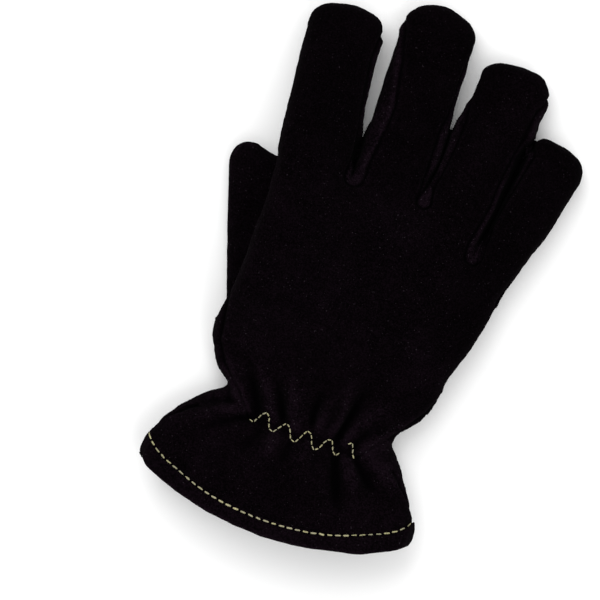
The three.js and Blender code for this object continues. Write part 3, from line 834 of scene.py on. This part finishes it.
def corner_rise(x):
    """How much further from the hem the binding reaches near its corners, in metres."""
    share = np.minimum(abs(hem_share(x)), 0.985)
    return (1.5 * smooth_step(0.35, 0.8, share) + 7.5 * share**16) * MM


def stitch_line(x, from_hem):
    """A line along the hem at a distance from it, in metres."""
    slope = 2 * HEM_BOW * hem_share(x) / hem_half
    return hem_line(x) + from_hem * MM * np.sqrt(1 + slope**2) + corner_rise(x)


# %% Shape the binding
STITCH_FROM_HEM = 7.3
BINDING_OVER = 1.1 * MM
# Places in millimetres from the wrist's notch, the move there and how far it reaches
BINDING_MOVES = [
    ((-79, -50), (1.8, 1.5), 6),
    ((72, -52), (-1.4, 1.2), 5),
    ((71.5, -35), (-1.4, -0.4), 3.5),
    ((48, -61), (0.1, -1.2), 9),
]
binding = remeshed("cuff_binding", "hem_binding", 0.6 * MM, 5)
points, normals = points_of(binding), normals_of(binding)
past = (points[:, 1] - hem_line(points[:, 0])) / MM
rise = corner_rise(points[:, 0]) * smooth_step(1, 7, past)
points[:, 1] += rise + 0.8 * MM * (1 - smooth_step(-2, 3, past))
inwards = np.where(points[:, 0] < hem_middle, 0.35 * rise + 0.6 * MM, -0.1 * rise)
points[:, 0] += inwards * smooth_step(0.9, 1, abs(hem_share(points[:, 0])))
for (corner_x, corner_y), move, reach in BINDING_MOVES:
    x, y = from_wrist(points)
    share = bell(np.hypot(x - corner_x, y - corner_y), reach)
    points[:, :2] += share[:, None] * np.array(move) * MM
leather_tree = BVHTree.FromPolygons(*joined([leather["back_leather"], leather["palm_leather"]]))
for index in np.nonzero((normals[:, 2] > 0) & (past > 3))[0]:
    hit, _ = drape(leather_tree, points[index], True)
    if hit is not None:
        points[index, 2] = max(points[index, 2], hit.z + BINDING_OVER)
row = (points[:, 1] - stitch_line(points[:, 0], STITCH_FROM_HEM)) / MM
outer = smooth_step(-0.1, 0.5, abs(normals[:, 2]))
height = -0.4 * bell(row, 0.9) * outer + 0.25 * bell(row + 4, 2.2)
height += 0.22 * cloud(points, 12 * MM, 5) + 0.1 * cloud(points, 4 * MM, 6)
shaped = points + normals * (height * MM)[:, None]
shaped[:, 2] = np.maximum(shaped[:, 2], 0.2 * MM)
move_points(binding, shaped)
# Painted highlight on the lip beside the stitch row and on the folded edge, over a paler tone for the whole
# binding.
store(binding, "pale_and_painted_highlight", np.clip(0.25 + 0.6 * bell(row - 1.4, 0.6) + 0.5 * bell(past + 1.2, 1.6), 0, 1))
# Painted shade in the groove of the stitch row.
store(binding, "depth", 0.8 * bell(row, 0.9))
activate(binding)
bpy.ops.object.shade_smooth()

tab = remeshed("pull_tab", "tab_leather", 0.5 * MM, 4)
print("binding:", len(binding.data.polygons), "faces, tab:", len(tab.data.polygons), "faces")

# %% [markdown]
# ## Stitches
# The thread is thick and cream, and it shows as separate dashes that dive into the leather at both
# ends. One stitch is modelled from a sphere, and copies of it are laid along each sewn line. Each copy
# is set on the leather under it, so the zigzag rides over the gathers.

# %% Tools that sew
STITCH_RINGS = 8


def stitch_template():
    """One stitch along X, a unit long and a unit thick, with its ends turned down."""
    bpy.ops.object.select_all(action="DESELECT")
    bpy.ops.mesh.primitive_uv_sphere_add(segments=8, ring_count=STITCH_RINGS, radius=0.5)
    made = bpy.context.object
    made.data.transform(Matrix.Rotation(math.pi / 2, 4, "Y"))
    shape = points_of(made)
    shape[:, 0] = np.sign(shape[:, 0]) * 0.5 * (2 * abs(shape[:, 0])) ** 0.7
    round_part = np.hypot(shape[:, 1], shape[:, 2])
    swell = 0.5 * (1 - (2 * abs(shape[:, 0])) ** 6 * 0.55)
    shape[:, 1:] *= (swell / np.maximum(round_part, 1e-4) * (round_part > 1e-3))[:, None]
    move_points(made, shape)
    faces = [list(face.vertices) for face in made.data.polygons]
    bpy.data.objects.remove(made)
    return shape, faces


template, template_faces = stitch_template()


def along_line(line, step):
    """Places at even steps along a line of points."""
    line = np.array(line, float)
    spans = np.hypot(*np.diff(line, axis=0).T)
    reach = np.concatenate([[0], np.cumsum(spans)])
    count = int(reach[-1] / step)
    places = np.linspace(0, reach[-1], count + 1)
    return np.array([np.interp(places, reach, line[:, axis]) for axis in (0, 1)]).T


def lay_stitch(tree, middle, way, reach, width, above):
    """The points of one stitch on the leather, or None where no leather lies under it."""
    ends = [drape(tree, middle + way * side * reach, above) for side in (-1, 1)]
    centre, normal = drape(tree, middle, above)
    if centre is None or any(hit is None for hit, _ in ends):
        return None
    forward = ends[1][0] - ends[0][0]
    length = forward.length
    if length > 4 * reach:
        return None
    forward.normalize()
    side = normal.cross(forward).normalized()
    up = forward.cross(side)
    bed = (ends[0][0] + ends[1][0] + 2 * centre) / 4 + up * width * 0.12
    laid = []
    for along, across, rise in template:
        sag = -0.4 * (2 * along) ** 4
        laid.append(bed + forward * along * length + side * across * width + up * (rise + sag) * width)
    return laid


def sew(name, rows, pieces, period, dash, thick, above=True, skipped=()):
    """Stitches along rows of places seen from above, as one piece. No two are quite alike."""
    tree = BVHTree.FromPolygons(*joined(pieces))
    chance = np.random.default_rng(len(name))
    vertices, faces, shades = [], [], []
    for row in rows:
        places = along_line(row, period)
        for here, there in zip(places[:-1], places[1:]):
            middle = (here + there) / 2
            if any(low < middle[0] < high for low, high in skipped):
                continue
            way = (there - here) / np.linalg.norm(there - here)
            tilt = chance.normal(0, 0.09)
            way = np.array([way[0] - tilt * way[1], way[1] + tilt * way[0]])
            reach = dash * chance.uniform(0.84, 1.1) / 2
            width = thick * chance.uniform(0.85, 1.12)
            laid = lay_stitch(tree, middle, way, reach, width, above)
            if laid is None:
                continue
            start = len(vertices)
            vertices += laid
            faces.extend([start + index for index in face] for face in template_faces)
            shades += [chance.uniform(0, 1)] * len(template)
    made = add_mesh(name, vertices, faces)
    floored = points_of(made)
    floored[:, 2] = np.maximum(floored[:, 2], 0.05 * MM)
    move_points(made, floored)
    store(made, "shade", shades)
    activate(made)
    bpy.ops.object.shade_smooth()
    print(name, len(vertices) // len(template), "stitches")
    return made


# %% Sew the hem
THREAD = 0.95 * MM
HEM_PERIOD, HEM_DASH = 4.15 * MM, 3.0 * MM
HEM_ROW_END = 0.975
hem_x = hem_middle + np.linspace(-HEM_ROW_END, HEM_ROW_END, 80) * hem_half
hem_row = np.array([hem_x, stitch_line(hem_x, STITCH_FROM_HEM)]).T
sewn = [binding, leather["back_leather"], leather["palm_leather"]]
hem_thread = sew("hem_stitches", [hem_row], sewn, HEM_PERIOD, HEM_DASH, THREAD)
hem_thread_under = sew("hem_stitches_under", [hem_row], sewn, HEM_PERIOD, HEM_DASH, THREAD, above=False)

# %% [markdown]
# ## The zigzag over the elastic
# The thread that holds the elastic runs in a zigzag, so that it can stretch. It is finer than the hem's.

# %% Sew the elastic
FINE_THREAD = 0.68 * MM
ELASTIC_PERIOD, ELASTIC_DASH = 2.95 * MM, 2.25 * MM
# Where the zigzag starts, turns and ends, in millimetres from the wrist's notch
ZIGZAG = [
    (-28.5, -12.5), (-26.5, -13.4), (-20.9, -6.2), (-15.1, -14.8), (-9.1, -8.3), (-2.7, -16.2),
    (2.7, -8.3), (9.0, -16.6), (14.4, -8.5), (20.0, -15.8), (25.2, -6.7), (30.0, -14.4),
]
TURN_STEPS = 8


def zigzag_line():
    """The zigzag as a line of places: it climbs slowly and drops steeply."""
    line = []
    for start, end in zip(ZIGZAG[:-1], ZIGZAG[1:]):
        share = np.linspace(0, 1, TURN_STEPS, endpoint=False)
        low, high = (0, 0.95) if end[1] > start[1] else (0.15, 0.78)
        eased = smooth_step(low, high, share)
        for step in range(TURN_STEPS):
            place_x = start[0] + (end[0] - start[0]) * share[step]
            place_y = start[1] + (end[1] - start[1]) * eased[step]
            line.append((wrist.x + place_x * MM, wrist.y + place_y * MM))
    return line


# A fold of leather covers the thread between these two places
hidden = [(wrist.x + 21.6 * MM, wrist.x + 24.2 * MM)]
gathers = [leather["back_leather"]]
zigzag_rows = [zigzag_line()]
zigzag_thread = sew(
    "elastic_stitches", zigzag_rows, gathers, ELASTIC_PERIOD, ELASTIC_DASH, FINE_THREAD, skipped=hidden
)

# %% [markdown]
# ## The tab's two rows
# They run along its outline on the underside, where the tab shows when the cuff is folded back.

# %% Sew the tab
TAB_ROWS = (2.5 * MM, 4.5 * MM)
TAB_PERIOD, TAB_DASH = 3.5 * MM, 2.6 * MM


def inset_outline(node, inset):
    """The outline of a flat node seen from above, moved inwards."""
    corners, _ = mesh_of(node)
    flat = add_mesh("outline", [(corner.x, corner.y, 0) for corner in corners], [])
    form = bmesh.new()
    form.from_mesh(flat.data)
    bmesh.ops.remove_doubles(form, verts=form.verts, dist=0.05 * MM)
    hull = bmesh.ops.convex_hull(form, input=form.verts)
    rim = [part for part in hull["geom"] if isinstance(part, bmesh.types.BMVert)]
    centre = sum((vertex.co for vertex in rim), Vector()) / len(rim)
    places = [(vertex.co.x, vertex.co.y) for vertex in rim]
    line = sorted(places, key=lambda place: math.atan2(place[1] - centre.y, place[0] - centre.x))
    form.free()
    bpy.data.objects.remove(flat)
    line = along_line(line + line[:1], 1.0 * MM)
    ahead = np.roll(line, -1, axis=0) - np.roll(line, 1, axis=0)
    ahead /= np.maximum(np.linalg.norm(ahead, axis=1), 1e-9)[:, None]
    inwards = np.array([-ahead[:, 1], ahead[:, 0]]).T
    return line + inwards * inset


tab_rows = [inset_outline("pull_tab", inset) for inset in TAB_ROWS]
tab_thread = sew("tab_stitches", tab_rows, [tab], TAB_PERIOD, TAB_DASH, THREAD, above=False)

# %% [markdown]
# ## Hand the pieces to the frame
# The glove is one body, so every piece rides on its root, and each takes the place of the CAD nodes that
# it dresses.

# %% Ride and replace
for name, (node, slot_name) in PIECES.items():
    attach(leather[name], "root")
    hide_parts(node)
others = [
    (thumb, THUMB_PANELS, "thumb_suede"),
    (binding, ("cuff_binding",), "binding_suede"),
    (tab, ("pull_tab",), "tab_suede"),
]
for item, replaced, slot_name in others:
    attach(item, "root")
    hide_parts(*replaced)
threads = [hem_thread, hem_thread_under, zigzag_thread, tab_thread]
for item in threads:
    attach(item, "root")
print(len(leather) + len(others) + len(threads), "pieces ride on the root")

# %% [markdown]
# ## Materials
# Black suede sends back very little light. Its nap breaks it up into fine specks, and on lips and ridges a
# painted highlight makes it paler, while painted shade darkens its folds. Node sums are written as Python
# sums, through a small class that stands for a socket.

# %% A socket that takes Python sums
class Signal:
    """A number, colour or vector in a material."""

    def __init__(self, tree, socket):
        self.tree = tree
        self.socket = socket

    def make(self, kind, inputs, output=0, **settings):
        """Makes any node, feeds it and returns one of its outputs."""
        node = self.tree.nodes.new("ShaderNode" + kind)
        for key, value in settings.items():
            setattr(node, key, value)
        for key, value in inputs.items():
            if isinstance(value, Signal):
                self.tree.links.new(value.socket, node.inputs[key])
            else:
                node.inputs[key].default_value = value
        return Signal(self.tree, node.outputs[output])

    def sums(self, operation, first, second):
        return self.make("Math", {0: first, 1: second}, operation=operation)

    def __add__(self, other):
        return self.sums("ADD", self, other)

    def __radd__(self, other):
        return self.sums("ADD", other, self)

    def __sub__(self, other):
        return self.sums("SUBTRACT", self, other)

    def __rsub__(self, other):
        return self.sums("SUBTRACT", other, self)

    def __mul__(self, other):
        return self.sums("MULTIPLY", self, other)

    def __rmul__(self, other):
        return self.sums("MULTIPLY", other, self)

    def between(self, low, high):
        """Nothing below low, 1 above high and smooth between them."""
        limits = {"Value": self, "From Min": low, "From Max": high}
        return self.make("MapRange", limits, interpolation_type="SMOOTHSTEP")

    def noise(self, size, detail=2.0):
        """Noise from 0 to 1 with lumps of a size in metres, at this place."""
        return self.make("TexNoise", {"Vector": self, "Scale": 1 / size, "Detail": detail})

    def blend(self, first, second):
        """The first colour where this is 0 and the second where it is 1."""
        inputs = {"Factor": self, "A": first, "B": second}
        return self.make("Mix", inputs, output=2, data_type="RGBA")


def new_material(name):
    """A material, its surface shader and the place on the piece, which patterns are laid by."""
    material = bpy.data.materials.new(name)
    material.use_nodes = True
    tree = material.node_tree
    shader = tree.nodes["Principled BSDF"]
    place = Signal(tree, tree.nodes.new("ShaderNodeTexCoord").outputs["Object"])
    return material, shader, place


def attribute(place, name):
    """A number that is kept on the piece's points."""
    return place.make("Attribute", {}, output=2, attribute_name=name)


# %% Suede, thread and floor
PAINTED_SHADE_BLACK = (0.0003, 0.0001, 0.0003, 1)
SUEDE_BLACK = (0.0003, 0.0001, 0.0002, 1)
PALE_NAP_AND_HIGHLIGHT = (0.0046, 0.0024, 0.0042, 1)
LINT = (0.03, 0.024, 0.03, 1)
CREAM = (0.40, 0.375, 0.20, 1)
CREAM_SHADE = (0.15, 0.135, 0.07, 1)
GREY_THREAD = (0.22, 0.21, 0.165, 1)


def feed(material, shader, colour, bump, strength, distance):
    """Links a colour and a bump of some height to the shader."""
    tree = material.node_tree
    tree.links.new(colour.socket, shader.inputs["Base Color"])
    relief = bump.make("Bump", {"Height": bump, "Strength": strength, "Distance": distance})
    tree.links.new(relief.socket, shader.inputs["Normal"])


def suede(name, lightening=1.0):
    """Black suede: fine fibres, soft mottling, paler places with painted highlights, painted shade in folds
    and specks of lint.
    """
    material, shader, place = new_material(name)
    fibres = place.noise(0.85 * MM)
    mottle = place.noise(3.2 * MM, 3)
    patches = place.noise(22 * MM)
    pale_and_painted_highlight = attribute(place, "pale_and_painted_highlight")
    painted_shade = attribute(place, "depth").between(0.05, 0.9)
    nap = fibres.between(0.44, 0.58) * 0.62
    nap = nap + mottle.between(0.35, 0.7) * 0.2
    nap = nap + patches.between(0.35, 0.65) * 0.2
    # Pale nap fibres, made paler still where the attribute asks: paler places and painted highlights.
    share = nap * (0.34 + pale_and_painted_highlight * 1.1 * lightening) + pale_and_painted_highlight * 0.16 * lightening
    colour = share.blend(SUEDE_BLACK, PALE_NAP_AND_HIGHLIGHT)
    # Painted shade: deep points in folds, seams and valleys turn black.
    colour = painted_shade.blend(colour, PAINTED_SHADE_BLACK)
    specks = place.noise(0.9 * MM, 1).between(0.7, 0.8)
    colour = (specks * (0.4 + pale_and_painted_highlight) * (1 - painted_shade)).blend(colour, LINT)
    bump = fibres * 0.5 + place.noise(1.5 * MM) * 0.5
    feed(material, shader, colour, bump, 0.6, 0.4 * MM)
    shader.inputs["Roughness"].default_value = 0.95
    shader.inputs["Specular IOR Level"].default_value = 0.005
    shader.inputs["Sheen Weight"].default_value = 0.003
    shader.inputs["Sheen Roughness"].default_value = 0.6
    return material


def thread(name):
    """Cream thread, greyer on some stitches."""
    material, shader, place = new_material(name)
    strands = place.noise(0.5 * MM)
    shade = attribute(place, "shade")
    colour = strands.between(0.3, 0.62).blend(CREAM_SHADE, CREAM)
    colour = (shade * 0.6).blend(colour, GREY_THREAD)
    feed(material, shader, colour, strands, 0.5, 0.25 * MM)
    shader.inputs["Roughness"].default_value = 0.85
    shader.inputs["Specular IOR Level"].default_value = 0.15
    return material


def paint(item, material):
    """Gives a piece its only material."""
    item.data.materials.clear()
    item.data.materials.append(material)


for name in PIECES:
    paint(leather[name], suede(name + "_suede"))
paint(thumb, suede("thumb_suede", 0.7))
paint(binding, suede("binding_suede", 1.3))
paint(tab, suede("tab_suede"))
cream = thread("cream_thread")
for item in threads:
    paint(item, cream)
print(len(bpy.data.materials), "materials")

# %% [markdown]
# ## Stage
# The glove lies on a plain white floor, under a large soft light from the upper left and a weaker one
# from the right, so that the folds show as soft tones and hardly a shadow falls.

# %% Floor and light
floor = add_mesh("floor", [(-3, -3, 0), (3, -3, 0), (3, 3, 0), (-3, 3, 0)], [[0, 1, 2, 3]])
floor_material, floor_shader, _ = new_material("white_floor")
floor_shader.inputs["Base Color"].default_value = (0.87, 0.87, 0.87, 1)
floor_shader.inputs["Roughness"].default_value = 0.9
paint(floor, floor_material)

scene_now = bpy.context.scene
world = bpy.data.worlds.new("studio")
world.use_nodes = True
world.node_tree.nodes["Background"].inputs["Color"].default_value = (1, 1, 1, 1)
world.node_tree.nodes["Background"].inputs["Strength"].default_value = 0.9
scene_now.world = world
scene_now.view_settings.view_transform = "Standard"


def softbox(name, place, size, power):
    """A square light that faces the glove's middle."""
    lamp = bpy.data.lights.new(name, "AREA")
    lamp.size = size
    lamp.energy = power
    item = bpy.data.objects.new(name, lamp)
    item.location = place
    item.rotation_euler = (glove_middle - item.location).to_track_quat("-Z", "Y").to_euler()
    scene_now.collection.objects.link(item)


glove_middle = (Vector(cad_box[0]) + Vector(cad_box[1])) / 2
softbox("key", Vector((-0.7, 0.8, 1.2)), 1.5, 17)
softbox("fill", Vector((0.9, -0.6, 1.3)), 1.4, 9)
print(len(bpy.data.lights), "lights and a white world")

# %% [markdown]
# ## Camera
# It looks straight down through a long lens, so nothing is foreshortened, and it is turned, so that the
# glove leans to the right.

# %% Camera
PHOTO_TURN = math.radians(19)
PHOTO_WIDTH = 309 * MM
PHOTO_CENTRE = Vector((-23.6, 54.1, 20)) * MM
LENS, SENSOR = 300, 36

camera_data = bpy.data.cameras.new("camera")
camera_data.lens = LENS
camera_data.sensor_width = SENSOR
camera = bpy.data.objects.new("camera", camera_data)
camera.location = wrist + PHOTO_CENTRE + Vector((0, 0, PHOTO_WIDTH * LENS / SENSOR))
camera.rotation_euler = (0, 0, PHOTO_TURN)
scene_now.collection.objects.link(camera)
scene_now.camera = camera
print("camera at", [round(value, 2) for value in camera.location], "m")
